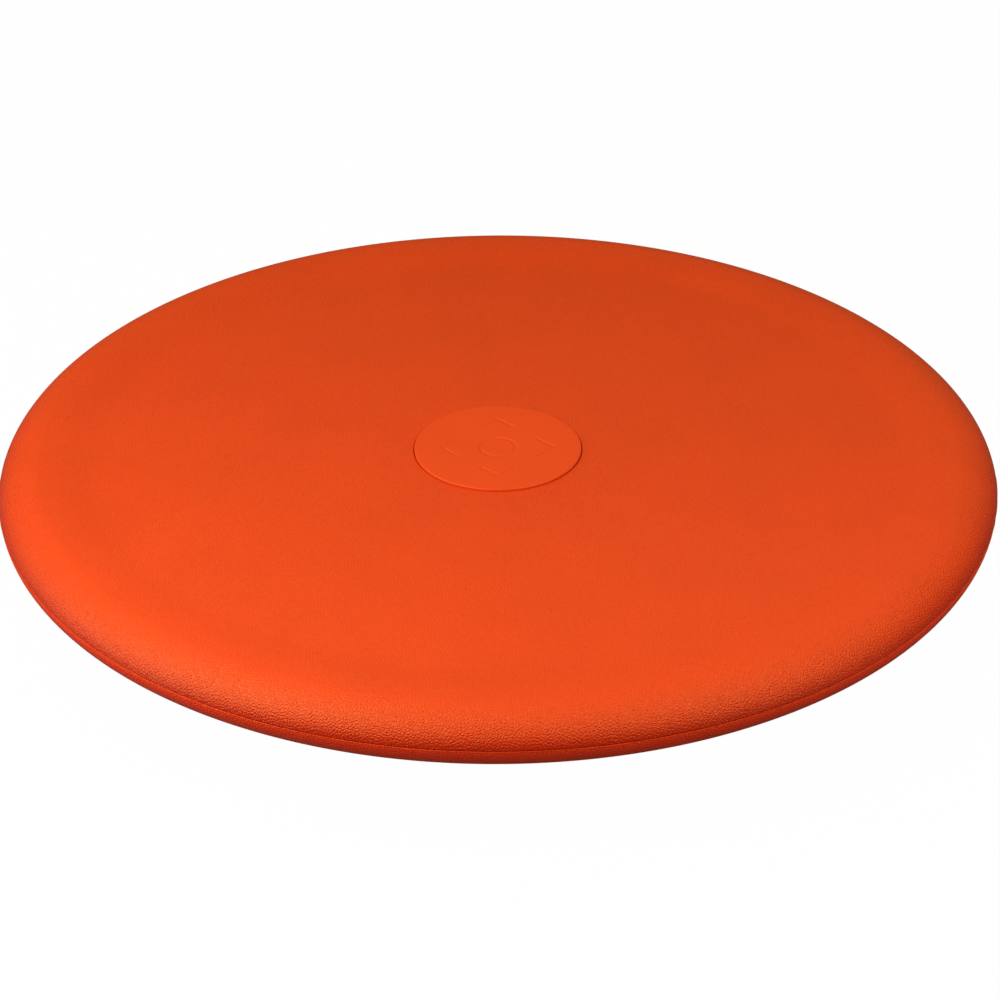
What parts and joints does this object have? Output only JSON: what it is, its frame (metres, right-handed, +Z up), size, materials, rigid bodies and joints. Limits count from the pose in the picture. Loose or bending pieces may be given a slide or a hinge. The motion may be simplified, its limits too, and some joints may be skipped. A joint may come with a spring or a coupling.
{
  "type": "balance disc",
  "caption": "Round orange floor balance disc: grained seat shell with a shallow dish, rolled rim and raised round badge, over a domed rocking base with a rubber pad.",
  "frame": {"origin": "on the disc's axis, at the underside of the rubber pad it rests on", "axes": "+Z up along the disc's axis, -Y towards the viewer who sees the badge the right way up, +X to that viewer's right"},
  "size_m": [0.476, 0.476, 0.0635],
  "materials": {
    "seat_plastic": "semi-matte orange, moulded leather grain",
    "base_plastic": "semi-matte orange, fine moulded grain",
    "cushion_foam": "open-cell cushion foam, hidden inside",
    "board_wood": "plain plywood, hidden inside",
    "black_rubber": "matt black rubber"
  },
  "bodies": {
    "root": {"seat_shell": "seat_plastic", "badge_plate": "seat_plastic", "foam_pad": "cushion_foam", "support_board": "board_wood", "base_shell": "base_plastic", "base_pad": "black_rubber", "grip_ring": "black_rubber", "vent_plug": "black_rubber"}
  },
  "joints": []
}
